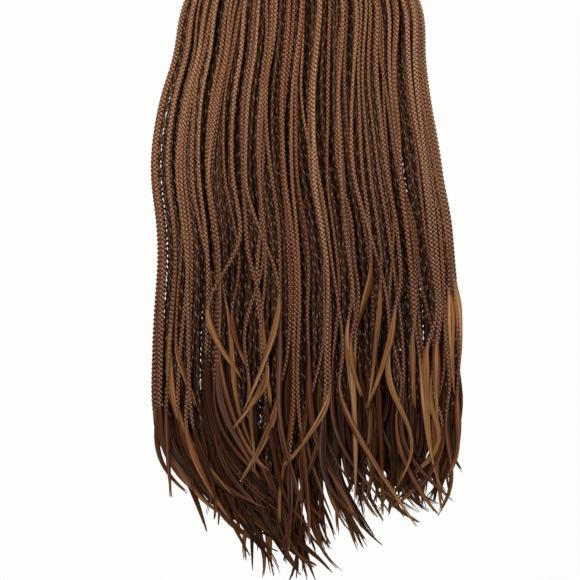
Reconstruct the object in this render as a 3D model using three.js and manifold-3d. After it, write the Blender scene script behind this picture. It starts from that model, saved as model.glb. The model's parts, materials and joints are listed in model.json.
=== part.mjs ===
// Long micro-braid wig: an open dome cap, a layer of outer locks that fall from a centre parting over it,
// and a layer of under locks that hang from its lower edge. Each lock is a bundle of thin braids with loose tails.
// Millimetres, +Z up, the face opening towards -Y. The origin is the top of the head, on the cap's inner face.
import * as THREE from "three";
import { ParametricGeometry } from "three/addons/geometries/ParametricGeometry.js";
import { mergeVertices } from "three/addons/utils/BufferGeometryUtils.js";
import Module from "manifold-3d";

const wasm = await Module();
wasm.setup();

// The head that the cap fits, a half ellipsoid carried on below its widest level
const headHalfWidth = 75;
const headHalfLength = 95;
const headHeight = 95; // top of the head to its widest level

// Cap
const capWall = 2;
const capSeat = 2.2; // clearance from the cap to the locks that lie on it

// Hair
const hairDrop = 750; // top of the head to the lowest tip
const curtainHalfWidth = 143.5; // widest half of the hanging hair
const curtainBack = 106; // how far the hanging hair stands behind the head's axis
const rootThickness = 2.2; // outer locks at the parting
const outerThickness = 9; // outer locks where they leave the head, and below
const underThickness = 22;
const layerGap = 0.9; // between the outer and the under locks
const laneGap = 0.8; // between neighbouring locks
const partingGap = 0.8; // between the left and the right locks
const underStart = 24; // the under locks begin this far below the head's widest level
const tailEnd = 0.4; // width of a tail at its tip
const tailRoot = 12; // length of a tail inside its lock

// Flow of the hair, in shares of a turn, of the lanes or of a lock
const partingLanes = 0.6; // share of each side's lanes that start along the parting, the rest fan out at the crown
const crownShare = 0.06; // where the fan starts, as a share of the way from the crown to the cap's edge
const laneSpread = 0.7; // crowds the lanes towards the side, so that all come out about as wide
const sweepEase = 1.8; // how early a lock turns to the back
const fallEase = 1.5; // how late a lock drops
const braidsPerLock = 3;
const grooveDepth = 0.22; // grooves between braids, as a share of the lock's thickness
const domeSteps = 7;

// The cap's edge: how far down it lies, in degrees from the top, by the way round from the face
const capEdge = [
  { around: 0, down: 73 },
  { around: 45, down: 79 },
  { around: 90, down: 92 },
  { around: 135, down: 110 },
  { around: 180, down: 122 },
];

// The hanging hair by its drop, from the head's widest level (0) to the lowest tip (1).
// width is a share of curtainHalfWidth, back and side are shares of curtainBack: the hair at the back's middle,
// and the line where the side edges hang. flat is 1 for a round outline, less for a squarer one.
// under is a share of underThickness.
const hangRows = [
  { drop: 0.04, width: 0.618, back: 1.01, side: 0.02, flat: 1, under: 0.07 },
  { drop: 0.07, width: 0.64, back: 1, side: 0.05, flat: 0.98, under: 0.3 },
  { drop: 0.1, width: 0.68, back: 0.99, side: 0.09, flat: 0.95, under: 0.62 },
  { drop: 0.17, width: 0.76, back: 0.96, side: 0.21, flat: 0.9, under: 0.9 },
  { drop: 0.24, width: 0.8, back: 0.95, side: 0.38, flat: 0.8, under: 1 },
  { drop: 0.31, width: 0.87, back: 0.96, side: 0.52, flat: 0.7, under: 1 },
  { drop: 0.39, width: 0.925, back: 0.98, side: 0.64, flat: 0.7, under: 1 },
  { drop: 0.53, width: 0.945, back: 1, side: 0.74, flat: 0.7, under: 1 },
  { drop: 0.6, width: 0.975, back: 1, side: 0.75, flat: 0.7, under: 1 },
  { drop: 0.68, width: 0.995, back: 1, side: 0.75, flat: 0.7, under: 1 },
  { drop: 0.82, width: 1, back: 1, side: 0.75, flat: 0.7, under: 0.9 },
  { drop: 0.92, width: 0.89, back: 0.99, side: 0.74, flat: 0.7, under: 0.75 },
  { drop: 1, width: 0.78, back: 0.98, side: 0.72, flat: 0.7, under: 0.6 },
];

// Sideways sweep of the tails at the lowest tip, in shares of curtainHalfWidth, and the drop where it begins
const sweepStart = 0.6;
const sweepMiddle = -0.06;
const sweepSpread = -0.1; // more at the left edge, less at the right one

// Locks from the side edge to the back's middle: where the braids end and where the longest tail ends, as drops
const outerRows = {
  left: [
    { ends: 0.754, tip: 0.87 },
    { ends: 0.74, tip: 0.873 },
    { ends: 0.718, tip: 0.877 },
    { ends: 0.674, tip: 0.849 },
    { ends: 0.645, tip: 0.827 },
    { ends: 0.689, tip: 0.863 },
    { ends: 0.711, tip: 0.885 },
    { ends: 0.66, tip: 0.841 },
    { ends: 0.703, tip: 0.892 },
  ],
  right: [
    { ends: 0.747, tip: 0.877 },
    { ends: 0.725, tip: 0.885 },
    { ends: 0.667, tip: 0.863 },
    { ends: 0.645, tip: 0.834 },
    { ends: 0.689, tip: 0.863 },
    { ends: 0.645, tip: 0.841 },
    { ends: 0.674, tip: 0.877 },
    { ends: 0.66, tip: 0.849 },
    { ends: 0.703, tip: 0.899 },
  ],
};
const underRows = {
  left: [
    { ends: 0.747, tip: 0.876 },
    { ends: 0.761, tip: 0.892 },
    { ends: 0.79, tip: 0.914 },
    { ends: 0.805, tip: 0.936 },
    { ends: 0.827, tip: 0.957 },
    { ends: 0.849, tip: 1 },
  ],
  right: [
    { ends: 0.776, tip: 0.907 },
    { ends: 0.776, tip: 0.909 },
    { ends: 0.761, tip: 0.892 },
    { ends: 0.827, tip: 0.957 },
    { ends: 0.805, tip: 0.936 },
    { ends: 0.827, tip: 0.965 },
  ],
};
const hangStops = [0.06, 0.13, 0.19, 0.25, 0.34, 0.46, 0.6, 0.7]; // drops of every lock's sections, down to its end
const tailStops = [0, 0.55, 1]; // sections of a tail
const tailTaper = [0.8, 0.55, 0];
const tailTrim = [0.03, 0, 0.018]; // how much earlier each of a lock's tails ends, as a drop

const sideSign = { left: 1, right: -1 }; // the wearer's left is +X
const hang = headHeight - hairDrop; // signed height of the hanging hair, from the widest level to the lowest tip

const rimAngle = new THREE.CubicInterpolant(
  capEdge.map((row) => THREE.MathUtils.degToRad(row.around)),
  capEdge.map((row) => THREE.MathUtils.degToRad(row.down)),
  1,
);
const firstHang = [
  headHalfWidth + capWall + capSeat + outerThickness,
  headHalfLength + capWall + capSeat + outerThickness,
  0,
  1,
  0,
];
const hangLevel = new THREE.CubicInterpolant(
  [0, ...hangRows.map((row) => row.drop)],
  [
    firstHang,
    ...hangRows.map((row) => [
      row.width * curtainHalfWidth,
      row.back * curtainBack,
      row.side * curtainBack,
      row.flat,
      row.under * underThickness,
    ]),
  ].flat(),
  firstHang.length,
);

// Cap's edge at an angle round the head, in radians from the top
function rimDown(around) {
  return rimAngle.evaluate(Math.abs(around))[0];
}

// Point on the head's ellipsoid grown by lift, at an angle round from the face and an angle down from the top
function headPoint(around, down, lift) {
  return new THREE.Vector3(
    (headHalfWidth + lift) * Math.sin(down) * Math.sin(around),
    -(headHalfLength + lift) * Math.sin(down) * Math.cos(around),
    (headHeight + lift) * Math.cos(down) - headHeight,
  );
}

// Angle of a lane from the back's middle: a quarter turn for lane 0 at the side edge, none for lane 1
function laneAngle(lane) {
  return (Math.PI / 2) * (1 - Math.max(lane, 0) ** laneSpread);
}

// A lane's way over the head, from the parting or the crown (0) to the widest level (1).
// level is 0 on the lock's inner face and 1 on its outer face.
function domePoint(side, lane, travel, level) {
  const along = Math.min(1, lane / partingLanes);
  const fan = Math.max(0, (lane - partingLanes) / (1 - partingLanes));
  const endAround = Math.PI - laneAngle(lane);
  const around = THREE.MathUtils.lerp(
    Math.PI * fan,
    endAround,
    1 - (1 - travel) ** sweepEase,
  );
  const share = THREE.MathUtils.lerp(
    THREE.MathUtils.lerp(1, crownShare, along),
    Math.PI / 2 / rimDown(endAround),
    travel ** fallEase,
  );
  const thickness = THREE.MathUtils.lerp(rootThickness, outerThickness, travel);
  const point = headPoint(around, share * rimDown(around), capWall + capSeat + level * thickness);
  point.x = sideSign[side] * (point.x + partingGap / 2);
  return point;
}

// A lane's hanging part. inset is the depth below the hair's outer surface.
function hangPoint(side, lane, drop, inset) {
  const [halfWidth, back, sideLine, flat] = hangLevel.evaluate(drop);
  const angle = laneAngle(lane);
  const across = (halfWidth - inset) * Math.sin(angle) + partingGap / 2;
  const sweep = THREE.MathUtils.smoothstep(drop, sweepStart, 2 - sweepStart) * 2;
  const x = sideSign[side] * across;
  return new THREE.Vector3(
    x + sweep * (sweepMiddle * curtainHalfWidth + sweepSpread * x),
    sideLine + (back - inset - sideLine) * Math.max(0, Math.cos(angle)) ** flat,
    hang * drop - headHeight,
  );
}

function outerPoint(side, lane, drop, level) {
  return hangPoint(side, lane, drop, (1 - level) * outerThickness);
}

function underPoint(side, lane, drop, level) {
  const thickness = hangLevel.evaluate(drop)[4];
  return hangPoint(side, lane, drop, outerThickness + layerGap + (1 - level) * thickness);
}

// Closed geometry with shared vertices and no faces without an area
function closed(geometry) {
  geometry.deleteAttribute("normal");
  geometry.deleteAttribute("uv");
  const merged = mergeVertices(geometry);
  const kept = [];
  const index = merged.index.array;
  for (let i = 0; i < index.length; i += 3) {
    const [a, b, c] = index.slice(i, i + 3);
    if (a !== b && b !== c && c !== a) kept.push(a, b, c);
  }
  merged.setIndex(kept);
  merged.computeVertexNormals();
  return merged;
}

function centre(ring) {
  return ring.reduce((sum, point) => sum.add(point), new THREE.Vector3()).divideScalar(ring.length);
}

// Skin over rings of points, closed at both ends by a point
function skin(rings, start = centre(rings[0]), end = centre(rings.at(-1))) {
  const rows = [[start], ...rings, [end]];
  const around = rings[0].length;
  const surface = (u, v, target) => {
    const row = rows[Math.round(v * (rows.length - 1))];
    target.copy(row[Math.round(u * around) % row.length]);
  };
  return closed(new ParametricGeometry(surface, around, rows.length - 1));
}

function toSolid(geometry) {
  return new wasm.Manifold(
    new wasm.Mesh({
      numProp: 3,
      vertProperties: geometry.attributes.position.array,
      triVerts: new Uint32Array(geometry.index.array),
    }),
  );
}

function toGeometry(solid) {
  const mesh = solid.getMesh();
  const geometry = new THREE.BufferGeometry();
  geometry.setAttribute("position", new THREE.BufferAttribute(mesh.vertProperties, 3));
  geometry.setIndex(new THREE.BufferAttribute(mesh.triVerts, 1));
  geometry.computeVertexNormals();
  return geometry;
}

function solidMesh(name, geometry, material) {
  const mesh = new THREE.Mesh(geometry, material);
  mesh.name = name;
  return mesh;
}

// Open dome of knitted net: an inner and an outer skin that meet at the edge
function makeCap(material) {
  const around = 28;
  const down = 8;
  const ring = (share, lift) =>
    Array.from({ length: around }, (_, i) => {
      const turn = (2 * Math.PI * i) / around;
      const edge = rimDown(turn > Math.PI ? 2 * Math.PI - turn : turn);
      return headPoint(turn, share * edge, lift);
    });
  const shares = Array.from({ length: down }, (_, i) => (i + 1) / down);
  const inner = shares.map((share) => ring(share, 0));
  const outer = shares.toReversed().map((share) => ring(share, capWall));
  const geometry = skin([...inner, ...outer], headPoint(0, 0, 0), headPoint(0, 0, capWall));
  return solidMesh("cap", geometry, material);
}

// Outline of a lock's section: a row of braids on one face, plain on the other.
// across runs from 0 to 1 over the lock, level from 0 on the plain face to 1 on the braids.
function lockSection(braids, plainSteps) {
  const outline = [];
  for (let i = 0; i <= 2 * braids; i++) {
    outline.push({ across: i / (2 * braids), level: i % 2 ? 1 : 1 - grooveDepth });
  }
  for (let i = plainSteps; i >= 0; i--) outline.push({ across: i / plainSteps, level: 0 });
  return outline;
}

// A lock from its sections and its tails, fused. place(lane, stop, level) gives a point of the lock's layer.
function makeLock({ name, side, index, count, plainSteps, row, stops, place, flip, material }) {
  const margin = laneGap / 2 / curtainHalfWidth;
  const laneAt = (across) => (index + across) / count + margin * (1 - 2 * across);
  const turned = (ring) => ((side === "left") === flip ? ring : ring.toReversed());
  const section = lockSection(braidsPerLock, plainSteps);
  const ringAt = (stop) =>
    turned(section.map((p) => place(laneAt(p.across), stop, flip ? 1 - p.level : p.level)));
  const sections = [...stops.filter((stop) => stop < row.ends - 0.02), row.ends];
  let solid = toSolid(skin(sections.map(ringAt)));

  const corners = [
    { across: -0.5, level: 0.15 },
    { across: -0.5, level: 0.8 },
    { across: 0.5, level: 0.8 },
    { across: 0.5, level: 0.15 },
  ];
  const tailStart = row.ends + tailRoot / hang;
  tailTrim.forEach((trim, k) => {
    const tip = row.tip - trim;
    const rings = tailStops.map((stop, i) => {
      const drop = THREE.MathUtils.lerp(tailStart, tip, stop);
      const width = tailTaper[i] / braidsPerLock + tailEnd / curtainHalfWidth;
      const middle = (k + 0.5) / tailTrim.length;
      return turned(
        corners.map((c) => {
          const level = THREE.MathUtils.lerp(0.45, c.level, Math.max(tailTaper[i], 0.1));
          return place(laneAt(middle + c.across * width), drop, flip ? 1 - level : level);
        }),
      );
    });
    solid = solid.add(toSolid(skin(rings)));
  });
  return solidMesh(name, toGeometry(solid), material);
}

const capNet = new THREE.MeshStandardMaterial({ color: "#2b1d15", roughness: 0.9, metalness: 0 });
const outerHair = new THREE.MeshStandardMaterial({ color: "#6e4c34", roughness: 0.5, metalness: 0 });
const underHair = new THREE.MeshStandardMaterial({ color: "#4a3020", roughness: 0.5, metalness: 0 });

const wig = new THREE.Group();
wig.add(makeCap(capNet));
for (const side of ["left", "right"]) {
  const domeTravel = Array.from({ length: domeSteps + 1 }, (_, i) => -1 + i / domeSteps);
  outerRows[side].forEach((row, index) => {
    wig.add(
      makeLock({
        name: `outer_lock_${side}_${index + 1}`,
        side,
        index,
        count: outerRows[side].length,
        row,
        plainSteps: 2,
        stops: [...domeTravel, ...hangStops], // below 0 on the head, above 0 in the hanging hair
        place: (lane, stop, level) =>
          stop < 0 ? domePoint(side, lane, stop + 1, level) : outerPoint(side, lane, stop, level),
        flip: false,
        material: outerHair,
      }),
    );
  });
  underRows[side].forEach((row, index) => {
    wig.add(
      makeLock({
        name: `under_lock_${side}_${index + 1}`,
        side,
        index,
        count: underRows[side].length,
        row,
        plainSteps: 3,
        stops: [-underStart / hang, ...hangStops],
        place: (lane, stop, level) => underPoint(side, lane, stop, level),
        flip: true,
        material: underHair,
      }),
    );
  });
}

export default wig;
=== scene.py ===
# Long micro-braid wig: the net cap, every plaited braid and every loose end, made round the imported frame
import json
import math
import bpy
import numpy as np
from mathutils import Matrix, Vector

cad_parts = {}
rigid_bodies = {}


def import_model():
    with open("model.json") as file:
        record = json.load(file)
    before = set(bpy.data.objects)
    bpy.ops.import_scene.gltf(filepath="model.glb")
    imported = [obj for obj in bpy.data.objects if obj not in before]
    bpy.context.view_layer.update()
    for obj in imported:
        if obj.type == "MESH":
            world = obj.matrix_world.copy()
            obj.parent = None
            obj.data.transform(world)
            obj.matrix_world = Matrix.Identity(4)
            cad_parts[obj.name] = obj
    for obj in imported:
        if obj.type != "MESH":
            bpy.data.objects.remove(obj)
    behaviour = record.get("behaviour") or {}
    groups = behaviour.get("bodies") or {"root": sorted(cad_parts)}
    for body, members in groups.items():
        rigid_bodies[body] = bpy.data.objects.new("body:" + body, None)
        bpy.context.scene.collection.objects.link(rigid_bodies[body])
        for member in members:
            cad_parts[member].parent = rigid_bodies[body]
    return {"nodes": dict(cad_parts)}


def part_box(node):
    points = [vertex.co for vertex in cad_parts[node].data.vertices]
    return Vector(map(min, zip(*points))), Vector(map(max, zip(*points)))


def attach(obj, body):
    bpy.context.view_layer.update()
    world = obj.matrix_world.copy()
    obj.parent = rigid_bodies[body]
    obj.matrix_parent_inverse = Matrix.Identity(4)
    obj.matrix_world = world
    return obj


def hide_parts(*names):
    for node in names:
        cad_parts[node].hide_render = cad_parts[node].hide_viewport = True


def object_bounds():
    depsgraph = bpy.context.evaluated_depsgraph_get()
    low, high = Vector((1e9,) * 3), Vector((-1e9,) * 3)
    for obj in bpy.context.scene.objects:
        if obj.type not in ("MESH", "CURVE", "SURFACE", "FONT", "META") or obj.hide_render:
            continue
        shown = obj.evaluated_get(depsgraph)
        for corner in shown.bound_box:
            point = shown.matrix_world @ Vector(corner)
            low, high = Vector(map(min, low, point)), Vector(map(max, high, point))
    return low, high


mm = 0.001

for thing in list(bpy.data.objects):  # the startup file's own objects
    bpy.data.objects.remove(thing)

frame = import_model()
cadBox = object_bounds()
print("frame loaded:", len(frame["nodes"]), "solids")


# Colours, nodes and small sums

def linear(hexColour):
    channels = [int(hexColour[i:i + 2], 16) / 255 for i in (1, 3, 5)]
    return tuple(c / 12.92 if c <= 0.04045 else ((c + 0.055) / 1.055) ** 2.4 for c in channels) + (1,)


def addNode(tree, kind, values=None, links=None, **settings):
    node = tree.nodes.new("ShaderNode" + kind)
    for name, value in settings.items():
        setattr(node, name, value)
    for name, value in (values or {}).items():
        node.inputs[name].default_value = value
    for name, source in (links or {}).items():
        tree.links.new(source, node.inputs[name])
    return node


def emptyTree(owner):
    owner.use_nodes = True
    owner.node_tree.nodes.clear()
    return owner.node_tree


def mix(start, end, share):
    return start + (end - start) * share


def smooth(values, low, high):
    share = np.clip((values - low) / (high - low), 0, 1)
    return share * share * (3 - 2 * share)


def unit(vectors):
    return vectors / np.maximum(np.linalg.norm(vectors, axis=-1, keepdims=True), 1e-12)


anyPhase = (0, 6.3)  # where a wave may start, in radians


# Smooth curve through a table: the first column is where, the others are the values there
def smoothRows(table, at):
    where, rows = table[:, 0], table[:, 1:]
    steps = np.diff(rows, axis=0) / np.diff(where)[:, None]
    slopes = np.vstack([steps[:1], (steps[1:] + steps[:-1]) / 2, steps[-1:]])
    i = np.clip(np.searchsorted(where, at) - 1, 0, len(where) - 2)
    gap = (where[i + 1] - where[i])[:, None]
    t = np.clip((at - where[i])[:, None] / gap, 0, 1)
    return (
        (2 * t ** 3 - 3 * t ** 2 + 1) * rows[i] + (3 * t ** 2 - 2 * t ** 3) * rows[i + 1]
        + gap * ((t ** 3 - 2 * t ** 2 + t) * slopes[i] + (t ** 3 - t ** 2) * slopes[i + 1])
    )


# How the hair flows: over the head under the cap, then down from the head's widest level

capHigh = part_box("cap")[1]

head = {
    "capWall": 2 * mm,
    "height": 95 * mm,  # top of the head to its widest level
    "seat": 2.2 * mm,  # air between the cap and the locks that lie on it
}
head["halfWidth"] = capHigh.x - head["capWall"]
head["halfLength"] = capHigh.y - head["capWall"]

flow = {
    "length": -cadBox[0].z - head["height"],  # widest level of the head to the lowest tip
    "halfWidth": 143.5 * mm,
    "back": 106 * mm,  # how far the hanging hair stands behind the head's axis
    "rootThickness": 2.2 * mm,
    "outerThickness": 9 * mm,
    "underThickness": 22 * mm,
    "layerGap": 0.9 * mm,
    "partingGap": 0.8 * mm,
    "partingLanes": 0.6,  # share of a side's lanes along the parting, the rest fan out at the crown
    "crownShare": 0.025,
    "laneSpread": 0.7,
    "sweepEase": 1.8,
    "fallEase": 1.5,
    "facing": 0.8,  # how much the plaits turn their flat side to the back
    "sweepStart": 0.6,
    "sweepMiddle": -0.06,
    "sweepSpread": -0.1,
}

sideSigns = {"left": 1, "right": -1}  # the wearer's left is +X


# A height in millimetres as a share of the way from the head's widest level to the lowest tip
def dropAt(height):
    return (-height * mm - head["height"]) / flow["length"]


# degrees round from the face, degrees down from the top
capEdge = np.radians([(0, 73), (45, 79), (90, 92), (135, 110), (180, 122)])

# drop, width as a share of the half width, back and side as shares of the back,
# flatness of the outline, under layer as a share of its thickness
hangRows = np.array([
    (0.04, 0.618, 1.01, 0.02, 1, 0.07),
    (0.07, 0.64, 1, 0.05, 0.98, 0.3),
    (0.1, 0.68, 0.99, 0.09, 0.95, 0.62),
    (0.17, 0.76, 0.96, 0.21, 0.9, 0.9),
    (0.24, 0.8, 0.95, 0.38, 0.8, 1),
    (0.31, 0.87, 0.96, 0.52, 0.7, 1),
    (0.39, 0.925, 0.98, 0.64, 0.7, 1),
    (0.53, 0.945, 1, 0.74, 0.7, 1),
    (0.6, 0.975, 1, 0.75, 0.7, 1),
    (0.68, 0.995, 1, 0.75, 0.7, 1),
    (0.82, 1, 1, 0.75, 0.7, 0.9),
    (0.92, 0.89, 0.99, 0.74, 0.7, 0.75),
    (1, 0.78, 0.98, 0.72, 0.7, 0.6),
])
hangScale = [1, flow["halfWidth"], flow["back"], flow["back"], 1, flow["underThickness"]]
headReach = head["capWall"] + head["seat"] + flow["outerThickness"]
hangTable = np.vstack([
    [0, head["halfWidth"] + headReach, head["halfLength"] + headReach, 0, 1, 0],
    hangRows * hangScale,
])


def rimDown(around):
    return smoothRows(capEdge, np.abs(around))[:, 0]


def headPoint(around, down, lift):
    return np.stack([
        (head["halfWidth"] + lift) * np.sin(down) * np.sin(around),
        -(head["halfLength"] + lift) * np.sin(down) * np.cos(around),
        (head["height"] + lift) * np.cos(down) - head["height"],
    ], axis=-1)


def laneAngle(lane):
    return math.pi / 2 * (1 - np.clip(lane, 0, None) ** flow["laneSpread"])


# Lane 0 is a side's edge and lane 1 the middle of the back,
# level 0 a layer's inner face and level 1 its outer one
def domePoint(side, lane, travel, level):
    along = np.minimum(1, lane / flow["partingLanes"])
    fan = np.maximum(0, (lane - flow["partingLanes"]) / (1 - flow["partingLanes"]))
    endAround = math.pi - laneAngle(lane)
    around = mix(math.pi * fan, endAround, 1 - (1 - travel) ** flow["sweepEase"])
    share = mix(
        mix(1, flow["crownShare"], along),
        math.pi / 2 / rimDown(endAround),
        travel ** flow["fallEase"],
    )
    thickness = mix(flow["rootThickness"], flow["outerThickness"], travel)
    lift = head["capWall"] + head["seat"] + level * thickness
    point = headPoint(around, share * rimDown(around), lift)
    point[:, 0] = sideSigns[side] * (point[:, 0] + flow["partingGap"] / 2)
    return point


def hangPoint(side, lane, drop, inset):
    halfWidth, back, sideLine, flat = smoothRows(hangTable, drop)[:, :4].T
    angle = laneAngle(lane)
    x = sideSigns[side] * ((halfWidth - inset) * np.sin(angle) + flow["partingGap"] / 2)
    sweep = 2 * smooth(drop, flow["sweepStart"], 2 - flow["sweepStart"])
    x = x + sweep * (flow["sweepMiddle"] * flow["halfWidth"] + flow["sweepSpread"] * x)
    y = sideLine + (back - inset - sideLine) * np.maximum(0, np.cos(angle)) ** flat
    return np.stack([x, y, -flow["length"] * drop - head["height"]], axis=-1)


# Points of the outer layer: stops run from -1 to 0 over the head and are drops below it
def outerPoint(side, lane, stop, level):
    points = np.empty((len(stop), 3))
    low = stop >= 0
    points[~low] = domePoint(side, lane[~low], stop[~low] + 1, level[~low])
    points[low] = hangPoint(side, lane[low], stop[low], (1 - level[low]) * flow["outerThickness"])
    return points


def underPoint(side, lane, stop, level):
    depth = smoothRows(hangTable, stop)[:, 4]
    return hangPoint(side, lane, stop, flow["outerThickness"] + flow["layerGap"] + (1 - level) * depth)


def distances(points):
    return np.concatenate([[0], np.cumsum(np.linalg.norm(np.diff(points, axis=0), axis=1))])


def spread(rows, far, at):
    return np.stack([np.interp(at, far, column) for column in rows.T], axis=-1)


# Averages over a stretch on either side, so that a braid turns the head's corners in a soft bend
def softened(rows, reach):
    weights = np.hanning(2 * reach + 3)[1:-1]
    before = 2 * rows[0] - rows[reach:0:-1]
    after = 2 * rows[-1] - rows[-2:-reach - 2:-1]
    padded = np.concatenate([before, rows, after])
    return np.stack([np.convolve(c, weights / weights.sum(), "valid") for c in padded.T], axis=-1)


route = {
    "step": 2.5 * mm,
    "softening": 9,  # steps on either side
}


# A route in even steps, with its tangents, outward vectors, and the stop at each of its points
def makeRoute(points, outward, stop):
    far = distances(points)
    even = np.linspace(0, far[-1], int(far[-1] / route["step"]) + 1)
    points = softened(spread(points, far, even), route["softening"])
    outward = spread(outward, far, even)
    stop = np.interp(even, far, stop)
    tangent = unit(np.gradient(points, axis=0))
    outward = unit(outward - tangent * np.sum(outward * tangent, axis=1, keepdims=True))
    far = distances(points)
    return {"points": points, "tangent": tangent, "outward": outward, "far": far, "stop": stop}


# The same route at other distances along it
def routeAt(whole, far):
    columns = {"far": far}
    for name in ("points", "tangent", "outward"):
        columns[name] = spread(whole[name], whole["far"], far)
    columns["tangent"] = unit(columns["tangent"])
    columns["outward"] = unit(columns["outward"])
    columns["sideways"] = unit(np.cross(columns["tangent"], columns["outward"]))
    return columns


def rolled(rows, angle):
    c, s = np.cos(angle)[:, None], np.sin(angle)[:, None]
    return (
        rows["sideways"] * c + rows["outward"] * s,
        rows["outward"] * c - rows["sideways"] * s,
    )


# Meshes from strips: each is a closed tube of rings, with tint, proudness, way along and shade,
# given for all of it, for each ring or for each point

patternUv = "fibres"
bakeUv = "OFBake"


def makeStrip(rings, tint, proud, along, shade, material):
    count, sides = rings.shape[:2]
    values = np.empty((count, sides, 4))
    for i, value in enumerate((tint, proud, along, shade)):
        value = np.asarray(value, float)
        values[:, :, i] = value[:, None] if value.ndim == 1 else value
    middles = rings.mean(axis=1)
    return {
        "rings": rings,
        "values": values,
        "material": material,
        "far": distances(middles),
        "girth": np.linalg.norm(np.diff(rings, axis=1), axis=2).sum(axis=1).max() * sides / (sides - 1),
    }


bakeLayout = {
    "headroom": 1.02,  # height of a column, in lengths of the longest strip
    "gap": 1.5 * mm,  # between the strips in a column
    "margin": 0.1,  # share of a column that stays free on either side
}


# Own layout for the strips: columns as high as the longest one, filled from the longest down
def packStrips(strips):
    order = sorted(range(len(strips)), key=lambda i: -strips[i]["far"][-1])
    height = strips[order[0]]["far"][-1] * bakeLayout["headroom"]
    columns = []
    for i in order:
        length = strips[i]["far"][-1] + bakeLayout["gap"]
        column = next((c for c in columns if c["used"] + length <= height), None)
        if column is None:
            column = {"used": 0, "strips": []}
            columns.append(column)
        column["strips"].append((i, column["used"]))
        column["used"] += length
    spots = [None] * len(strips)
    wide = 1 / len(columns)
    margin = bakeLayout["margin"] * wide
    for n, column in enumerate(columns):
        for i, used in column["strips"]:
            spots[i] = (n * wide + margin, wide - 2 * margin, used / height, strips[i]["far"][-1] / height)
    return spots


# Quads round a strip and a fan of triangles over each end, with the side and ring of every corner
def stripFaces(count, sides):
    i, j = np.meshgrid(np.arange(count - 1), np.arange(sides), indexing="ij")
    i, j = i.ravel(), j.ravel()
    corners = [(i, j), (i + 1, j), (i + 1, j + 1), (i, j + 1)]
    quads = np.stack([a * sides + b % sides for a, b in corners], axis=-1)
    quadSpots = np.stack([np.stack([b, a], axis=-1) for a, b in corners], axis=1).astype(float)
    j = np.arange(sides)
    after = (j + 1) % sides
    low = (count - 1) * sides
    fans = np.concatenate([
        np.stack([np.full(sides, count * sides), j, after], axis=-1),
        np.stack([np.full(sides, count * sides + 1), low + after, low + j], axis=-1),
    ])
    top, bottom = np.zeros(sides), np.full(sides, count - 1.0)
    fanSpots = np.concatenate([
        np.stack([np.stack([x, top], axis=-1) for x in (j + 0.5, j, j + 1)], axis=1),
        np.stack([np.stack([x, bottom], axis=-1) for x in (j + 0.5, j + 1, j)], axis=1),
    ])
    return quads, quadSpots, fans, fanSpots


def flat(values, kind=np.float32):
    return np.asarray(values, kind).ravel()


def makePiece(name, strips, materials, seed):
    dice = np.random.default_rng(seed)
    spots = packStrips(strips)
    verts, values, loops, sizes, picks, patterns, bakes = [], [], [], [], [], [], []
    offset = 0
    for strip, spot in zip(strips, spots):
        count, sides = strip["rings"].shape[:2]
        quads, quadSpots, fans, fanSpots = stripFaces(count, sides)
        ends = np.stack([strip["rings"][0].mean(0), strip["rings"][-1].mean(0)])
        endValues = np.stack([strip["values"][0].mean(0), strip["values"][-1].mean(0)])
        verts.append(np.concatenate([strip["rings"].reshape(-1, 3), ends]))
        values.append(np.concatenate([strip["values"].reshape(-1, 4), endValues]))
        loops.append(np.concatenate([quads.ravel(), fans.ravel()]) + offset)
        sizes.append(np.concatenate([np.full(len(quads), 4), np.full(len(fans), 3)]))
        picks.append(np.full(len(quads) + len(fans), strip["material"]))
        place = np.concatenate([quadSpots.reshape(-1, 2), fanSpots.reshape(-1, 2)])
        far = np.interp(place[:, 1], np.arange(count), strip["far"])
        start = dice.uniform(0, 1, 2)
        girth = place[:, 0] / sides * strip["girth"]
        patterns.append(np.stack([girth + start[0], far + start[1]], axis=-1))
        bakes.append(np.stack([
            spot[0] + spot[1] * place[:, 0] / sides,
            spot[2] + spot[3] * far / strip["far"][-1],
        ], axis=-1))
        offset += count * sides + 2
    verts, values, loops = np.concatenate(verts), np.concatenate(values), np.concatenate(loops)
    sizes, picks = np.concatenate(sizes), np.concatenate(picks)
    mesh = bpy.data.meshes.new(name)
    mesh.vertices.add(len(verts))
    mesh.vertices.foreach_set("co", flat(verts))
    mesh.loops.add(len(loops))
    mesh.loops.foreach_set("vertex_index", flat(loops, np.int32))
    mesh.polygons.add(len(sizes))
    mesh.polygons.foreach_set("loop_start", flat(np.cumsum(sizes) - sizes, np.int32))
    mesh.polygons.foreach_set("use_smooth", np.ones(len(sizes), bool))
    for material in materials:
        mesh.materials.append(material)
    mesh.polygons.foreach_set("material_index", flat(picks, np.int32))
    for layer, uvs in ((patternUv, patterns), (bakeUv, bakes)):
        mesh.uv_layers.new(name=layer).data.foreach_set("uv", flat(np.concatenate(uvs)))
    strand = mesh.attributes.new("strand", "FLOAT_COLOR", "POINT")
    strand.data.foreach_set("color", flat(values))
    mesh.update()
    mesh.validate()
    piece = bpy.data.objects.new(name, mesh)
    bpy.context.scene.collection.objects.link(piece)
    return piece


# Every piece rides on the one body and stands for one node
def settle(piece, node):
    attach(piece, "root")
    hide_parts(node)


# Materials

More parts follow.
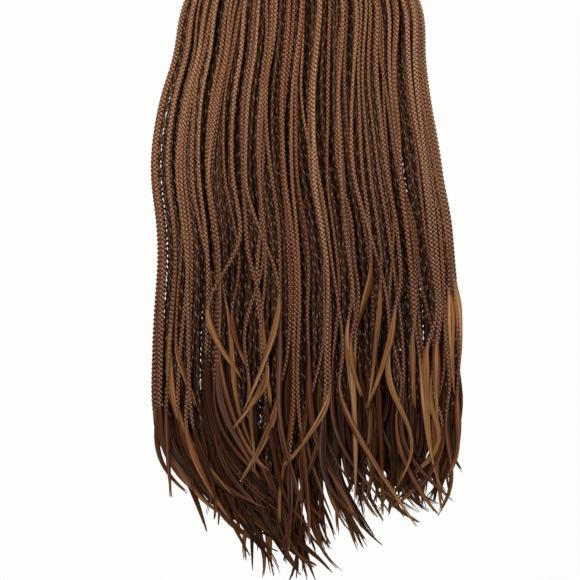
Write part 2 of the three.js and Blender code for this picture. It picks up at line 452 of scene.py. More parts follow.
# Modacrylic hair fibre, heat set in plaits: satin, with a soft pale painted highlight on each bead and
# painted shade in the grooves between
braidLook = {
    "colours": ["#8c502c", "#ae734a", "#c79369"],  # deep, usual and pale braids
    # painted shade in the grooves between beads
    "groove": "#471606",
    "deep": "#140501",  # painted shade: what it leans to where it lies under other hair
    "paintedHighlight": "#cfc5b6",  # painted highlight: what the highest fibres of each bead lean to
    "paintedHighlightShare": 0.4,
    "paintedHighlightFrom": (0.76, 0.98),  # how far from the plait's middle that begins and is full
    "ends": "#55290f",  # what the colour leans to at the lower end
    "endShare": 0.8,
    "endFrom": 0.5,  # share of the length where that begins
    "proud": (0.38, 0.88),  # how far from the plait's middle the groove ends and the bead begins
    "roughness": 0.42,
    "roughnessSpread": (-0.08, 0.1),
    "ior": 1.5,
    "specular": 0.22,
    "shine": "#ffdcc0",  # the fibre's own warm gleam
    "fibreWidth": 0.35 * mm,  # a real fibre is 0.06 mm, drawn this coarse so that it shows
    "fibreLength": 9 * mm,
    "fibreDepth": 0.12 * mm,
    "fibreContrast": 0.3,
    "fibreRange": (0.3, 0.7),  # part of the noise that the streaks use
    "fibreRelief": 0.6,
}

# The same fibre deep in the hair, with painted shade as where less light reaches: darker and duller
underLook = dict(
    braidLook,
    colours=["#55270b", "#8a4d29", "#b07545"],
    groove="#270b03",
    paintedHighlightShare=0.35,
    ends="#4a2410",
    roughness=0.5,
    specular=0.18,
)

# Loose fibre below the plaits: smooth and silky, golden where it opens and dark reddish brown lower down
tailLook = dict(
    braidLook,
    colours=["#3b1709", "#7e401c", "#d09259"],
    groove="#1c0a03",
    paintedHighlightShare=0.1,
    ends="#542810",
    endShare=0.36,
    endFrom=0.1,
    proud=(0.0, 1.0),
    roughness=0.4,
    specular=0.2,
    fibreWidth=0.3 * mm,
    fibreLength=40 * mm,
    fibreDepth=0.1 * mm,
    fibreContrast=0.8,
)
# The loose fibre deep in the hair, with painted shade: darker and duller
underTailLook = dict(tailLook, colours=["#2e1207", "#653315", "#b97238"], roughness=0.46, specular=0.15)


# The strand colours hold tint, proudness, way along and shade, the share of colour kept against painted
# shade
def makeHairMaterial(name, look):
    material = bpy.data.materials.new(name)
    tree = emptyTree(material)
    strand = addNode(tree, "VertexColor", layer_name="strand")
    split = addNode(tree, "SeparateColor", links={"Color": strand.outputs["Color"]})
    tint, proud, along = (split.outputs[n] for n in ("Red", "Green", "Blue"))
    shades = addNode(tree, "ValToRGB", links={"Fac": tint})
    ramp = shades.color_ramp.elements
    ramp[0].color = linear(look["colours"][0])
    ramp[1].color = linear(look["colours"][2])
    ramp.new(0.5).color = linear(look["colours"][1])

    # The colour grows darker towards the lower end
    lower = addNode(
        tree, "MapRange", interpolation_type="SMOOTHSTEP",
        values={"From Min": look["endFrom"], "From Max": 1.0, "To Max": look["endShare"]},
        links={"Value": along},
    )
    darkerBelow = addNode(
        tree, "Mix", data_type="RGBA", values={7: linear(look["ends"])},
        links={"Factor": lower.outputs[0], 6: shades.outputs["Color"]},
    )

    # Fibres run along each strand: noise stretched from the fibre's width to its length
    uv = addNode(tree, "UVMap", uv_map=patternUv)
    stretch = addNode(
        tree, "Mapping", links={"Vector": uv.outputs["UV"]},
        values={"Scale": (1 / look["fibreWidth"] / 2, 1 / look["fibreLength"] / 2, 1)},
    )
    fibres = addNode(
        tree, "TexNoise", noise_dimensions="2D", links={"Vector": stretch.outputs["Vector"]},
        values={"Scale": 1.0, "Detail": 2.0, "Roughness": 0.6},
    )
    streak = addNode(
        tree, "MapRange", links={"Value": fibres.outputs[0]},
        values={
            "From Min": look["fibreRange"][0], "From Max": look["fibreRange"][1],
            "To Min": 1 - look["fibreContrast"], "To Max": 1.0,
        },
    )

    # Painted shade in the grooves, painted highlight on the beads, and painted shade all over where the
    # braid lies deep
    bead = addNode(
        tree, "MapRange", links={"Value": proud},
        values={"From Min": look["proud"][0], "From Max": look["proud"][1]},
    )
    sunk = addNode(
        tree, "Mix", data_type="RGBA", values={6: linear(look["groove"])},
        links={"Factor": bead.outputs[0], 7: darkerBelow.outputs[2]},
    )
    # painted highlight on the highest fibres of each bead
    paintedHighlight = addNode(
        tree, "MapRange", links={"Value": proud},
        values={
            "From Min": look["paintedHighlightFrom"][0], "From Max": look["paintedHighlightFrom"][1],
            "To Max": look["paintedHighlightShare"],
        },
    )
    pale = addNode(
        tree, "Mix", data_type="RGBA", values={7: linear(look["paintedHighlight"])},
        links={"Factor": paintedHighlight.outputs[0], 6: sunk.outputs[2]},
    )
    streaked = addNode(
        tree, "Mix", data_type="RGBA", blend_type="MULTIPLY", values={"Factor": 1.0},
        links={6: pale.outputs[2], 7: streak.outputs[0]},
    )
    # painted shade: the colour leans to the deep one as the shade value falls
    shaded = addNode(
        tree, "Mix", data_type="RGBA", values={6: linear(look["deep"])},
        links={"Factor": strand.outputs["Alpha"], 7: streaked.outputs[2]},
    )

    bump = addNode(
        tree, "Bump", links={"Height": fibres.outputs[0]},
        values={"Strength": look["fibreRelief"], "Distance": look["fibreDepth"]},
    )
    gloss = addNode(
        tree, "MapRange", links={"Value": fibres.outputs[0]},
        values={
            "To Min": look["roughness"] + look["roughnessSpread"][0],
            "To Max": look["roughness"] + look["roughnessSpread"][1],
        },
    )
    shader = addNode(
        tree, "BsdfPrincipled",
        values={
            "IOR": look["ior"], "Specular IOR Level": look["specular"],
            "Specular Tint": linear(look["shine"]),
        },
        links={
            "Base Color": shaded.outputs[2], "Roughness": gloss.outputs[0],
            "Normal": bump.outputs["Normal"],
        },
    )
    addNode(tree, "OutputMaterial", links={"Surface": shader.outputs["BSDF"]})
    return material


materials = {  # plait and tail
    "outer": [
        makeHairMaterial("modacrylic_braid", braidLook),
        makeHairMaterial("modacrylic_loose_fibre", tailLook),
    ],
    "under": [
        makeHairMaterial("modacrylic_braid_shaded", underLook),
        makeHairMaterial("modacrylic_loose_fibre_shaded", underTailLook),
    ],
}
print("materials made")


# Braids

# A three-strand plait: each strand swings from side to side and dives under the next one
plait = {
    "cycle": 12.8 * mm,  # a strand is back where it was after this length, three beads on
    "swing": 1.3 * mm,
    "dive": 0.8 * mm,
    "strandAcross": 1.12 * mm,  # half widths of a strand
    "strandDeep": 0.95 * mm,
    "bead": 0.4,  # how much a strand swells where it shows
    "beadEven": 0.6,  # a strand that shows this much has its own size
    "hidden": 0.76,  # proudness that is left where a strand dives, so that painted shade falls there
    "firstBead": (0.1, 1),  # length of the first bead as a share of the others
    "rootSize": 0.45,
    "rootLength": 50 * mm,
    "endSize": 0.85,
    "endLength": 15 * mm,
    "roll": 0.55,  # radians a plait may be turned
    "rollSwing": 0.45,  # and how far it turns to and fro
    "rollLength": 180 * mm,
    "rollRate": (0.5, 1.3),
    "tintSpread": 0.05,
}

# A loose end: flat locks of fibre that open out of the plait and run together to one thin tip
tail = {
    "rows": 16,
    "startInside": 9 * mm,  # how far up in the plait a lock begins
    "halfWidth": 1.5 * mm,
    "halfDepth": 0.75 * mm,
    "widthSpread": (0.75, 1.2),
    "rootWidth": 0.5,  # width where it begins
    "lowWidth": 0.72,  # width below its full part
    "lowFrom": (0.35, 0.75),
    "openFrom": 0.35 * mm,  # how far the locks stand from the middle at the plait's end
    "openTo": 2 * mm,  # where the tail is fullest
    "closing": 1 * mm,  # where it begins to taper
    "closeTo": 0.2 * mm,  # at the tip
    "flatness": 0.55,  # depth of the tail to its width
    "uneven": 0.09,  # the shortest lock ends this share earlier
    "stray": 0.5 * mm,  # how far a lock's tip may stand off the tail's own
    "wave": (0.2, 0.9),  # millimetres
    "waveTurn": (4, 8),  # radians over its length
    "twist": 0.5,  # radians a lock is turned where it begins
    "untwist": 0.8,  # and from there to its tip
    "tip": 0.32 * mm,
    "tipDepth": 0.7,
    "proud": (0.55, 1),
    "tintSpread": 0.18,
    "paintedTipLight": 0.5,  # painted light: how much paler the thin tips are, as where light shines through them
    "paintedTipLightFrom": 0.6,
    "hook": 15 * mm,  # how far a tip may bend aside at its very end
    "fullest": 0.3,  # share of a lock's length
    "taperFrom": 0.68,
    "taperEase": 1.5,
}


def ringsRound(points, sideways, outward, across, deep):
    aside = sideways[:, None, :] * across[:, :, None] + outward[:, None, :] * deep[:, :, None]
    return points[:, None, :] + aside


def makeBraid(whole, end, look, dice, tint, size, material):
    cycle = plait["cycle"] * look["stretch"]
    first = cycle / 3 * dice.uniform(*plait["firstBead"])
    rows = routeAt(whole, np.append(0, np.arange(first, end, cycle / look["rowsPerCycle"])))
    far = rows["far"]
    turn = (far - first) / cycle * 2 * math.pi + look["firstPhase"]
    slow = far / plait["rollLength"] * 2 * math.pi
    roll = dice.normal(0, plait["roll"]) + plait["rollSwing"] * np.sin(
        slow * dice.uniform(*plait["rollRate"]) + dice.uniform(*anyPhase)
    )
    sideways, outward = rolled(rows, roll * look["roll"])
    grow = mix(plait["rootSize"], 1, smooth(far, 0, plait["rootLength"]))
    fade = mix(1, plait["endSize"], smooth(far, end - plait["endLength"], end))
    scale = (size * grow * fade)[:, None]
    reachAcross = plait["swing"] + plait["strandAcross"]
    reachDeep = plait["dive"] + plait["strandDeep"]
    angle = math.pi / 2 + np.arange(look["strandSides"]) / look["strandSides"] * 2 * math.pi
    strips = []
    for k in range(3):
        phase = turn + k * 2 * math.pi / 3
        shown = np.abs(np.sin(2 * phase))[:, None]
        swell = 1 + plait["bead"] * (shown - plait["beadEven"])
        across = plait["swing"] * np.sin(phase)[:, None] + plait["strandAcross"] * swell * np.cos(angle)
        deep = plait["dive"] * np.sin(2 * phase)[:, None] + plait["strandDeep"] * swell * np.sin(angle)
        rings = ringsRound(rows["points"], sideways, outward, across * scale, deep * scale)
        # Proudness grows from the plait's middle outwards and is lower where the strand dives; the material
        # paints the groove shade and the bead highlight from it
        proud = np.sqrt((across / reachAcross) ** 2 + (deep / reachDeep) ** 2)
        proud = proud * mix(plait["hidden"], 1, shown)
        strandTint = tint + dice.uniform(-plait["tintSpread"], plait["tintSpread"])
        strips.append(makeStrip(rings, strandTint, proud, far / end, look["shade"], material))
    return strips


def makeTail(whole, start, look, dice, tint, size, material):
    strips = []
    length = whole["far"][-1] - start
    locks = look["locks"]
    seats = dice.uniform(0, 2 * math.pi) + np.arange(locks) / locks * 2 * math.pi
    angle = np.arange(4) / 4 * 2 * math.pi
    for k in range(locks):
        reach = 1 - tail["uneven"] * dice.uniform(0, 1) ** 1.5
        share = np.linspace(0, 1, tail["rows"])
        inside = tail["startInside"]
        rows = routeAt(whole, start - inside + (length * reach + inside) * share)
        opened = np.interp(
            share, [0, tail["fullest"], tail["taperFrom"], 1],
            [tail["openFrom"], tail["openTo"], tail["closing"], tail["closeTo"]],
        )
        taper = np.clip((share - tail["taperFrom"]) / (1 - tail["taperFrom"]), 0, 1) ** tail["taperEase"]
        wide = mix(tail["rootWidth"], 1, smooth(share, 0, tail["fullest"]))
        wide = wide * mix(1, tail["lowWidth"], smooth(share, *tail["lowFrom"])) * (1 - taper)
        stray = dice.normal(0, tail["stray"]) * share ** 2.5
        lift = dice.normal(0, tail["stray"]) * share ** 2
        wave = dice.uniform(*tail["wave"]) * mm * share
        wave = wave * np.sin(share * dice.uniform(*tail["waveTurn"]) + dice.uniform(*anyPhase))
        across = opened * math.cos(seats[k]) * size + stray + wave
        deep = opened * tail["flatness"] * math.sin(seats[k]) * size + lift
        middle = rows["points"] + rows["sideways"] * across[:, None] + rows["outward"] * deep[:, None]
        turn = dice.normal(0, tail["twist"]) + dice.normal(0, tail["untwist"]) * share
        sideways, outward = rolled(rows, turn)
        halfWidth = tail["halfWidth"] * size * wide * dice.uniform(*tail["widthSpread"]) + tail["tip"]
        halfDepth = tail["halfDepth"] * size * wide + tail["tip"] * tail["tipDepth"]
        across, deep = halfWidth[:, None] * np.cos(angle), halfDepth[:, None] * np.sin(angle)
        rings = ringsRound(middle, sideways, outward, across, deep)
        proud = dice.uniform(*tail["proud"])
        lockTint = tint + dice.uniform(-tail["tintSpread"], tail["tintSpread"])
        # painted light on the thin tips
        lockTint = lockTint + tail["paintedTipLight"] * smooth(share, tail["paintedTipLightFrom"], 1)
        strips.append(makeStrip(rings, lockTint, proud, share, look["shade"], material))
    return strips


# The drift that draws neighbouring braids together and apart, so that dark gaps open between them
drift = {
    "waves": 5,
    "amount": 0.013,  # share of a side's lanes
    "across": (3, 9),  # turns of a wave over a side's lanes
    "down": (-1.4, 1.4),  # and over the fall
    "from": (-0.6, 0.25),  # stops between which it sets in
    "atEdge": 0.4,  # how much of it is left at a side's edge
    "edgeLanes": (0.03, 0.15),
}


def driftAt(side, seed, lane, stop):
    dice = np.random.default_rng([seed, sideSigns[side] + 1])
    moved = 0
    for _ in range(drift["waves"]):
        across, down = dice.uniform(*drift["across"]), dice.uniform(*drift["down"])
        start = dice.uniform(0, 2 * math.pi)
        moved = moved + np.sin(2 * math.pi * (across * lane + down * stop) + start)
    left = mix(drift["atEdge"], 1, smooth(lane, *drift["edgeLanes"]))
    return drift["amount"] * moved * smooth(stop, *drift["from"]) * left


# Towards the side edges the braids lie close and calm, so that no light shows between them
sideEdge = {
    "lanes": 0.27,  # share of a side's lanes over which this fades out
    "calm": 0.25,  # how much of their wander is left
    "level": 1.1,  # they lie near this level
    "rise": 0.6,  # by this share of the way to it
    "facing": 3,  # how much more they turn flat to the back
    "thicker": 1.32,
    "inset": 0.02,  # lane of the foremost braid, down to the middle of its fall
    "insetEnds": (0.45, 0.75),  # drops between which it moves out to the edge
}

# How far the tips lean to one side, by where the lock hangs: x and lean in millimetres
leanRows = np.array([
    (-140, 12), (-120, -2), (-100, -16), (-64, -30), (-26, -18), (12, -14), (60, -36), (98, -42),
    (120, -32), (140, -8),
]) * mm

# The hair's lower outline: x and height of the lowest tips in millimetres
lowRows = np.array([
    (-148, -655), (-138, -672), (-125, -676), (-111, -684), (-97, -698), (-83, -682), (-68, -690),
    (-54, -724), (-40, -716), (-26, -722), (-11, -752), (3, -778), (17, -778), (31, -762), (46, -750),
    (60, -754), (74, -744), (88, -728), (103, -700), (122, -684), (136, -655),
]) * mm

# The whole fall hangs a little to one side and fuller than evenly: drop, shift and, at the edge, spread
swayRows = np.array([
    (0, 0, 0), (0.1, 0.5, 5), (0.17, 1, 11), (0.24, 4, 7.5), (0.3, 7.5, 5.5), (0.42, 5.5, 5),
    (0.49, -1, 5.5), (0.58, -5, 5), (0.75, -3.5, 5.5), (0.9, 0, 3), (1.1, 2, 0),
]) * [1, mm, mm]


def leanAt(x):
    return np.interp(x, leanRows[:, 0], leanRows[:, 1])


# The lowest drop a tip may reach, from where it hangs
def lowestDrop(x):
    return dropAt(np.interp(x, lowRows[:, 0], lowRows[:, 1]) / mm)


def swayAt(x, drop):
    shift, wider = smoothRows(swayRows, np.clip(drop, 0, 1.1)).T
    return shift + wider * x / flow["halfWidth"]


# Under braids are sewn on the cap near its edge, and reach their own lane a little below it
rim = {
    "inside": math.radians(3),  # from the cap's edge to the lowest row of them
    "rows": math.radians(12),  # from the lowest row to the highest
    "lift": 0.8 * mm,
    "blend": 0.13,  # drop over which they leave the cap
}


def underRoute(side, lane, stop, level):
    around = math.pi - laneAngle(lane)
    down = rimDown(around) - rim["inside"] - rim["rows"] * level
    seat = headPoint(around, down, head["capWall"] + rim["lift"])
    seat[:, 0] *= sideSigns[side]
    hanging = underPoint(side, lane, np.maximum(stop, 0), level)
    hanging[:, 2] = np.where(stop < 0, seat[:, 2], hanging[:, 2])
    share = smooth(stop, 0, rim["blend"])[:, None]
    return mix(seat + [0, 0, 1] * (hanging - hanging[:1]), hanging, share)


layers = {
    "outer": {"seed": 0, "place": outerPoint, "slot": "braided_hair"},
    "under": {"seed": 1, "place": underRoute, "slot": "braided_hair_under"},
}


def stray(hang, leave, end, tip, **more):
    return dict(hang=hang, leave=leave, end=end, tip=tip, **more)


# Braids that stand out from the rest, in millimetres: x where one hangs, height where it leaves its lane,
# x and height of its plait's end and of its tip. A higher late turns the tail to its tip later,
# bulge bends it aside on the way, size and tail are factors on the plait and the tail.
strays = [
    stray(62, -420, (92, -500), (57, -566)),
    stray(60, -430, (39, -512), (30, -592)),
    stray(46, -375, (22, -492), (58, -596)),
    stray(-134, -410, (-146, -478), (-149, -566), late=1, bulge=-2, tint=0.9),
    stray(-66, -430, (-65, -458), (-36, -549)),
    stray(-73, -450, (-73, -481), (-62, -590)),
    stray(-86, -470, (-86, -506), (-60, -592)),
    stray(-103, -490, (-104, -528), (-106, -592)),
    stray(-116, -500, (-117, -538), (-118, -610)),
    stray(-127, -500, (-127, -532), (-128, -606)),
    stray(22, -540, (24, -585), (60, -662)),
    stray(139, -560, (140, -598), (110, -674), late=3.4, bulge=2, tail=0.7, tint=0.3),
    stray(136, -560, (137, -592), (107, -670), late=2.8, tail=0.7, tint=0.4),
    stray(131, -560, (131, -600), (126, -678), tail=0.7, tint=0.25),
    stray(-138, -450, (-140, -486), (-145, -582), size=1.1, tint=0.9),
    stray(-42, -480, (-42, -515), (-48, -592)),
    stray(33, -520, (33, -558), (67, -612)),
    stray(-24, -540, (-26, -579), (19, -648)),
    stray(112, -580, (112, -613), (69, -700)),
    stray(-30, -540, (-33, -572), (-108, -704), late=1.3),
    stray(-143, -540, (-147, -582), (-137, -661), late=5, bulge=-2, tint=0.6),
    stray(-135, -560, (-136, -606), (-129, -696), bulge=-10, tail=0.8, tint=0.5),
    stray(-122, -560, (-124, -600), (-132, -692), late=1.2),
    stray(-134, -570, (-134, -612), (-84, -688), late=2.4, size=0.8, tint=0.3),
    stray(-90, -560, (-88, -606), (-130, -696), late=1.8, size=0.8, tint=0.4),
    stray(66, -440, (69, -508), (54, -552), size=0.75, tint=0.5),
    stray(47, -470, (51, -566), (46, -650), tint=0.6),
    stray(120, -470, (122, -536), (102, -592), late=1, size=0.8),
    stray(-50, -470, (-44, -536), (-56, -582), tint=0.8),
]
strayWays = {
    "lift": 3.5 * mm,  # they lie over their neighbours
    "liftLead": 0.1,  # and rise this much drop before they leave their lane
    "tint": 0.72,
    "late": 1.4,
    "joins": 0.3,  # share of the tail after which the lane counts no more
}


def laneX(side, lane, drop):
    return hangPoint(side, np.array([lane]), np.array([drop]), 0)[0, 0]


# The top braid that hangs nearest to each stray takes its place
def matchStrays(braids):
    found = {}
    for own in strays:
        drop = dropAt(own["leave"])
        free = [key for key in braids if key not in found]
        nearest = min(free, key=lambda key: abs(laneX(key[0], braids[key], drop) - own["hang"] * mm))
        found[nearest] = own
    return found


# Sideways shift that takes a braid from its lane to a stray's points
def strayShift(own, stop, points, ends, tip):
    endX, tipX = own["end"][0] * mm, own["tip"][0] * mm
    laneEnd = np.interp(ends, stop, points[:, 0])
    share = np.clip((stop - ends) / (tip - ends), 0, 1)
    shift = np.zeros((len(stop), 3))
    leave = dropAt(own["leave"])
    shift[:, 0] = (endX - laneEnd) * smooth(stop, leave, ends)
    shift[:, 0] -= (points[:, 0] - laneEnd) * smooth(share, 0, strayWays["joins"])
    shift[:, 0] += (tipX - endX) * share ** own.get("late", strayWays["late"])
    shift[:, 0] += own.get("bulge", 0) * mm * np.sin(math.pi * share ** 1.5)
    shift[:, 1] = strayWays["lift"] * smooth(stop, leave - strayWays["liftLead"], ends)
    return shift


# How a braid strays from its lane and level, and its tail from the braid
ways = {
    "pointsOverHead": 90,
    "pointsBelow": 220,
    "loose": (-0.7, 0.3),  # stops between which a braid comes free of the cap
    "waves": ((1, (0.7, 2.0)), (0.3, (3, 6))),  # share of the wander and turns over the fall
    "moods": ([0.7, 1.2, 3], [0.4, 0.4, 0.2]),  # factors on the wander, and how often each comes
    "wilder": (0.8, 1.7),  # factor on the wander at the top and lower down
    "wilderFrom": (0.3, 0.8),
    "lanes": (0.002, 1.04),  # first and last lane that a braid may reach
    "bobTurns": (1, 2.5),
    "rootSink": 1.5,  # levels that the sewn root lies lower
    "rootEnds": (-1, -0.9),
    "leanSpread": (0.5, 1.3),
    "leanStray": 13 * mm,
    "leanEase": 2.3,
    "curl": 10 * mm,
    "curlTurn": (2.5, 6),  # radians over the tail
    "lift": (-2, 6),  # millimetres
    "hookEase": 6,
    "tintSpreads": (0.27, 0.36),
    "probe": (0.05, 0.01),  # steps in level and lane that find which way is out and across
    "flatFrom": (-0.2, 0.15),  # stops between which the plait turns flat to the sheet of hair
}


# One braid with its tail. Its lane and level wander, and its tail leans, curls and lifts.
def growBraid(layer, side, lane, level, ends, tip, look, dice, own):
    overHead = np.empty(0)
    if layer == "outer":
        overHead = np.linspace(-1, 0, ways["pointsOverHead"], endpoint=False)
    stop = np.concatenate([overHead, np.linspace(0, tip, ways["pointsBelow"])])
    loosen = smooth(stop, *ways["loose"])
    wander = sum(
        amount * np.sin(2 * math.pi * stop * dice.uniform(*turns) + dice.uniform(*anyPhase))
        for amount, turns in ways["waves"]
    )
    wander = wander * look["wander"] * dice.choice(ways["moods"][0], p=ways["moods"][1])
    edge = 1 - smooth(lane, 0, sideEdge["lanes"])
    wander = wander * mix(*ways["wilder"], smooth(stop, *ways["wilderFrom"]))
    wander = wander * mix(1, sideEdge["calm"], edge)
    lanes = lane + look["drift"] * driftAt(side, look["driftSeed"], lane, stop) + loosen * wander
    firstLane = mix(sideEdge["inset"], ways["lanes"][0], smooth(stop, *sideEdge["insetEnds"]))
    lanes = np.clip(lanes, firstLane, ways["lanes"][1])
    bob = np.sin(2 * math.pi * stop * dice.uniform(*ways["bobTurns"]) + dice.uniform(*anyPhase))
    levels = level + loosen * look["levelWander"] * bob
    levels = mix(levels, sideEdge["level"], sideEdge["rise"] * edge)
    if layer == "outer":  # the roots are sewn down to the cap
        levels = levels - ways["rootSink"] * (1 - smooth(stop, *ways["rootEnds"]))
    share = np.clip((stop - ends) / (tip - ends), 0, 1)
    place = layers[layer]["place"]
    points = place(side, lanes, stop, levels)
    points[:, 0] += swayAt(points[:, 0], stop)
    lean = leanAt(points[-1, 0]) * dice.uniform(*ways["leanSpread"]) + dice.normal(0, ways["leanStray"])
    curl = dice.normal(0, ways["curl"]) * share
    curl = curl * np.sin(share * dice.uniform(*ways["curlTurn"]) + dice.uniform(*anyPhase))
    lift = dice.uniform(*ways["lift"]) * mm
    tints = [
        float(np.clip(dice.normal(middle, wide), 0, 1))
        for middle, wide in zip(look["tints"], ways["tintSpreads"])
    ]
    hook = dice.uniform(-1, 1) * tail["hook"] * share ** ways["hookEase"]
    aside = lean * share ** ways["leanEase"] + curl + hook
    shift = np.stack([aside, lift * share ** 2, np.zeros(len(stop))], axis=-1)
    if own:
        shift = strayShift(own, stop, points, ends, tip)
        tints[1] = own.get("tint", strayWays["tint"])

    # the plait lies flat in the sheet of hair, and below the head turns its flat side to the back
    up, over = ways["probe"]
    outward = unit(place(side, lanes, stop, levels + up) - place(side, lanes, stop, levels - up))
    across = place(side, lanes + over, stop, levels) - place(side, lanes - over, stop, levels)
    square = unit(np.cross(across, np.gradient(points, axis=0)))
    square *= np.sign(np.sum(square * outward, axis=1, keepdims=True))
    square = unit(square + [0, flow["facing"] * mix(1, sideEdge["facing"], edge), 0])
    outward = mix(outward, square, smooth(stop, *ways["flatFrom"])[:, None])

    whole = makeRoute(points + shift, outward, stop)
    end = np.interp(ends, whole["stop"], whole["far"])
    size = dice.uniform(*look["size"]) * own.get("size", 1) * mix(1, sideEdge["thicker"], edge)
    tailSize = size * look["tailSize"] * own.get("tail", 1)
    strips = makeBraid(whole, end, look, dice, tints[0], size, 0)
    strips += makeTail(whole, end, look, dice, tints[1], tailSize, 1)
    return strips


# Sets of braids in a lock, the highest first. Levels are taken in turn, so that neighbours can cross.
fine = {"strandSides": 4, "rowsPerCycle": 6, "firstPhase": math.pi / 6, "stretch": 1.0}
plain = {"strandSides": 3, "rowsPerCycle": 4, "firstPhase": math.pi / 4}
outerSets = [
    dict(
        fine, perLock=3, offset=0.5, levels=(0.95, 0.55), levelWander=0.08, wander=0.016,
        drift=1.0, driftSeed=21, size=(0.74, 1.14), roll=1.0, tints=(0.5, 0.36), shade=1.0,
        tailLength=(70, 185), tailSize=1.0, locks=6,
    ),
    # The lower set, seen in the gaps between the highest: darker tints and painted shade
    dict(
        plain, perLock=3, offset=0.85, levels=(0.1, 0.2), levelWander=0.05, wander=0.008,
        drift=0.9, driftSeed=21, size=(0.95, 1.2), roll=0.6, tints=(0.3, 0.25), shade=0.42,
        tailLength=(60, 150), tailSize=0.9, locks=4, stretch=1.25,
    ),
]
underSet = dict(
    plain, perLock=6, levelWander=0.02, wander=0.0007, drift=0.1, driftSeed=55,
    size=(1.24, 1.36), roll=0.1, tailLength=(70, 170), tailSize=0.9,
)
underSets = [
    # The back sheet, seen in the gaps: darker tints and painted shade; the inner sheet keeps nearly its
    # full colour
    dict(underSet, offset=0.75, levels=(0.92, 0.84), tints=(0.2, 0.3), shade=0.52, locks=4, stretch=1.4),
    dict(underSet, offset=0.25, levels=(0.1, 0.18), tints=(0.8, 0.5), shade=0.95, locks=5, stretch=1.6),
]


def laneOf(look, index, count, b):
    return (index + (b + look["offset"]) / look["perLock"]) / count


def lockCount(layer, side):
    return sum(name.startswith(f"{layer}_lock_{side}_") for name in frame["nodes"])


strayBraids = matchStrays({
    (side, index, b): laneOf(outerSets[0], index, lockCount("outer", side), b)
    for side in sideSigns
    for index in range(lockCount("outer", side))
    for b in range(outerSets[0]["perLock"])
})


# Where the braids of a lock lie and end, drops but for the first two
lockWays = {
    "seed": 144,
    "levelSpread": 0.04,
    "pastSolid": (0.01, 0.08),  # past the lowest tip of the lock's solid
    "pastOutline": (-0.035, 0.02),
}


def growLock(layer, side, index, count, sets):
    kind = layers[layer]
    node = f"{layer}_lock_{side}_{index + 1}"
    tip = (-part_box(node)[0].z - head["height"]) / flow["length"]
    strips = []
    for n, look in enumerate(sets):
        for b in range(look["perLock"]):
            dice = np.random.default_rng([lockWays["seed"], kind["seed"], sideSigns[side] + 1, index, n, b])
            levels = look["levels"]
            level = levels[(look["perLock"] * index + b) % len(levels)]
            level += dice.uniform(-lockWays["levelSpread"], lockWays["levelSpread"])
            lane = laneOf(look, index, count, b)
            x = laneX(side, lane, tip)
            lowest = lowestDrop(x + leanAt(x)) + dice.uniform(*lockWays["pastOutline"])
            braidTip = min(tip + dice.uniform(*lockWays["pastSolid"]), lowest)
            ends = braidTip - dice.uniform(*look["tailLength"]) * mm / flow["length"]
            own = strayBraids.get((side, index, b), {}) if look is outerSets[0] else {}
            if own:
                ends, braidTip = dropAt(own["end"][1]), dropAt(own["tip"][1])
            strips += growBraid(layer, side, lane, level, ends, braidTip, look, dice, own)
    piece = makePiece(
        f"braids_{layer}_{side}_{index + 1}", strips, materials[layer],
        [kind["seed"], index, sideSigns[side] + 1],
    )
    settle(piece, node)
    return sum(max(0, len(p.vertices) - 2) for p in piece.data.polygons)


triangles = 0
for side in sideSigns:
    for layer, sets in (("outer", outerSets), ("under", underSets)):
        count = lockCount(layer, side)
        for index in range(count):
            triangles += growLock(layer, side, index, count, sets)
        print(layer, side, "locks made,", triangles, "triangles so far")


# Cap: a dome of stretch net with a rolled elastic edge

# Nylon stretch net, warp knitted: matt and dark, with small diamond openings that read as a fine grain
capLook = {
    "yarn": "#2b1d15",
    "opening": "#0d0805",
    "pitch": 1.6 * mm,  # a real net's openings are 0.8 mm, drawn twice as coarse so that they show
    "irregular": 0.15,
    "yarnFrom": (0.25, 0.55),  # distance from an opening's middle, in pitches
    "depth": 0.3 * mm,
    "relief": 0.8,
    "roughness": 0.85,
    "ior": 1.53,  # nylon
    "specular": 0.2,
}
capShape = {
    "around": 96,
    "down": 26,
    "inset": 0.2 * mm,  # how far both faces stand inside the wall's
    "edgeWidth": 0.06,  # share of the way down that the elastic takes
    "edgeSwell": 0.5 * mm,
    "lip": (0.2, 0.5, 0.8),  # rows across the wall's edge
    "lipReach": 1.004,
    "seed": 5,
}


def makeNetMaterial():
    material = bpy.data.materials.new("nylon_stretch_net")
    tree = emptyTree(material)
    uv = addNode(tree, "UVMap", uv_map=patternUv)
    turned = addNode(
        tree, "Mapping", links={"Vector": uv.outputs["UV"]},
        values={"Scale": (1 / capLook["pitch"],) * 3, "Rotation": (0, 0, math.pi / 4)},
    )
    cells = addNode(
        tree, "TexVoronoi", voronoi_dimensions="2D", links={"Vector": turned.outputs["Vector"]},
        values={"Scale": 1.0, "Randomness": capLook["irregular"]},
    )
    yarn = addNode(
        tree, "MapRange", links={"Value": cells.outputs["Distance"]},
        values={"From Min": capLook["yarnFrom"][0], "From Max": capLook["yarnFrom"][1]},
    )
    colour = addNode(
        tree, "Mix", data_type="RGBA", links={"Factor": yarn.outputs[0]},
        values={6: linear(capLook["opening"]), 7: linear(capLook["yarn"])},
    )
    bump = addNode(
        tree, "Bump", links={"Height": yarn.outputs[0]},
        values={"Strength": capLook["relief"], "Distance": capLook["depth"]},
    )
    shader = addNode(
        tree, "BsdfPrincipled",
        values={
            "Roughness": capLook["roughness"], "IOR": capLook["ior"],
            "Specular IOR Level": capLook["specular"],
        },
        links={"Base Color": colour.outputs[2], "Normal": bump.outputs["Normal"]},
    )
    addNode(tree, "OutputMaterial", links={"Surface": shader.outputs["BSDF"]})
    return material


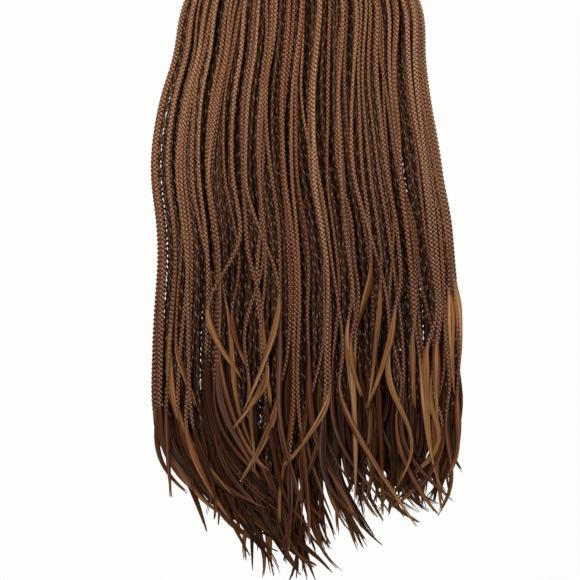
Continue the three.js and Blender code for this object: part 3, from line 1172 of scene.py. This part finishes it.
def makeCap():
    around = -np.arange(capShape["around"]) / capShape["around"] * 2 * math.pi
    edge = rimDown(np.where(np.abs(around) > math.pi, 2 * math.pi + around, around))
    shares = (np.arange(capShape["down"]) + 1) / capShape["down"]
    wall, inset, elastic = head["capWall"], capShape["inset"], capShape["edgeWidth"]

    def ring(share, face):
        swell = capShape["edgeSwell"] * smooth(share, 1 - elastic, 1 - elastic / 2)
        return headPoint(around, share * edge, mix(inset - swell, wall - inset + swell, face))

    inner = [ring(share, 0) for share in shares]
    lip = [headPoint(around, edge * capShape["lipReach"], wall * f) for f in capShape["lip"]]
    outer = [ring(share, 1) for share in shares[::-1]]
    return makeStrip(np.array(inner + lip + outer), 0.5, 1, 0, 1, 0)


cap = makePiece("cap_net_dome", [makeCap()], [makeNetMaterial()], capShape["seed"])
settle(cap, "cap")
print("cap made")


# Floor, lights and camera

studio = {
    "background": "#fdfdfc",
    "ambient": 0.25,
    "floor": "#f4f3f1",
    "floorLevel": -2.1,
    "floorSize": 12.0,
    "floorRoughness": 0.8,
    "floorFade": (1.6, 3.8),  # metres from the middle at which it passes into the background
    "lights": {  # place in metres, power in watts, size in metres
        "key": ((0.8, 2.3, 0.75), 44, 0.8),
        "fill": ((-1.6, 1.9, 0.0), 15, 1.4),
        "front": ((0.3, -2.4, 0.3), 46, 1.2),
        "top": ((0.0, 0.2, 2.0), 16, 1.5),
    },
    "aim": (0.0, 0.0, -0.4),
}

photo = {
    "width": 551 * mm,  # what the frame takes in at the back of the hair
    "centre": (12.4 * mm, -479.75 * mm),
    "distance": 2.2,
}


def aimed(thing, place, target):
    thing.location = place
    direction = np.array(target) - np.array(place)
    level = math.hypot(direction[0], direction[1])
    thing.rotation_euler = (
        math.pi / 2 + math.atan2(direction[2], level), 0, math.atan2(-direction[0], direction[1]),
    )
    bpy.context.scene.collection.objects.link(thing)


def makeStudio():
    scene = bpy.context.scene
    scene.view_settings.view_transform = "Standard"
    scene.view_settings.look = "None"
    world = bpy.data.worlds.new("studio")
    tree = emptyTree(world)
    rays = addNode(tree, "LightPath")
    bright = addNode(
        tree, "MapRange", links={"Value": rays.outputs["Is Camera Ray"]},
        values={"To Min": studio["ambient"], "To Max": 1.0},
    )
    light = addNode(
        tree, "Background", values={"Color": linear(studio["background"])},
        links={"Strength": bright.outputs[0]},
    )
    addNode(tree, "OutputWorld", links={"Surface": light.outputs[0]})
    scene.world = world

    half = studio["floorSize"] / 2
    mesh = bpy.data.meshes.new("floor")
    corners = [(-half, -half), (half, -half), (half, half), (-half, half)]
    mesh.from_pydata([(x, y, studio["floorLevel"]) for x, y in corners], [], [(0, 1, 2, 3)])
    paint = bpy.data.materials.new("matt_pale_board")
    tree = emptyTree(paint)
    spot = addNode(tree, "TexCoord")
    far = addNode(tree, "VectorMath", operation="LENGTH", links={"Vector": spot.outputs["Object"]})
    faded = addNode(
        tree, "MapRange", interpolation_type="SMOOTHSTEP", links={"Value": far.outputs["Value"]},
        values={"From Min": studio["floorFade"][0], "From Max": studio["floorFade"][1]},
    )
    board = addNode(
        tree, "BsdfPrincipled",
        values={"Base Color": linear(studio["floor"]), "Roughness": studio["floorRoughness"]},
    )
    glow = addNode(tree, "Emission", values={"Color": linear(studio["background"])})
    both = addNode(tree, "MixShader", links={"Fac": faded.outputs[0]})
    tree.links.new(board.outputs[0], both.inputs[1])
    tree.links.new(glow.outputs[0], both.inputs[2])
    addNode(tree, "OutputMaterial", links={"Surface": both.outputs[0]})
    mesh.materials.append(paint)
    floor = bpy.data.objects.new("floor", mesh)
    scene.collection.objects.link(floor)

    for name, (place, power, size) in studio["lights"].items():
        lamp = bpy.data.lights.new(name, "AREA")
        lamp.shape = "DISK"
        lamp.size = size
        lamp.energy = power
        aimed(bpy.data.objects.new(name, lamp), place, studio["aim"])


def makeCamera():
    lens = bpy.data.cameras.new("camera")
    x, z = photo["centre"]
    away = photo["distance"] - flow["back"]
    lens.lens = lens.sensor_width * away / photo["width"]
    camera = bpy.data.objects.new("camera", lens)
    aimed(camera, (x, photo["distance"], z), (x, 0, z))
    bpy.context.scene.camera = camera


makeStudio()
makeCamera()
print("studio made")
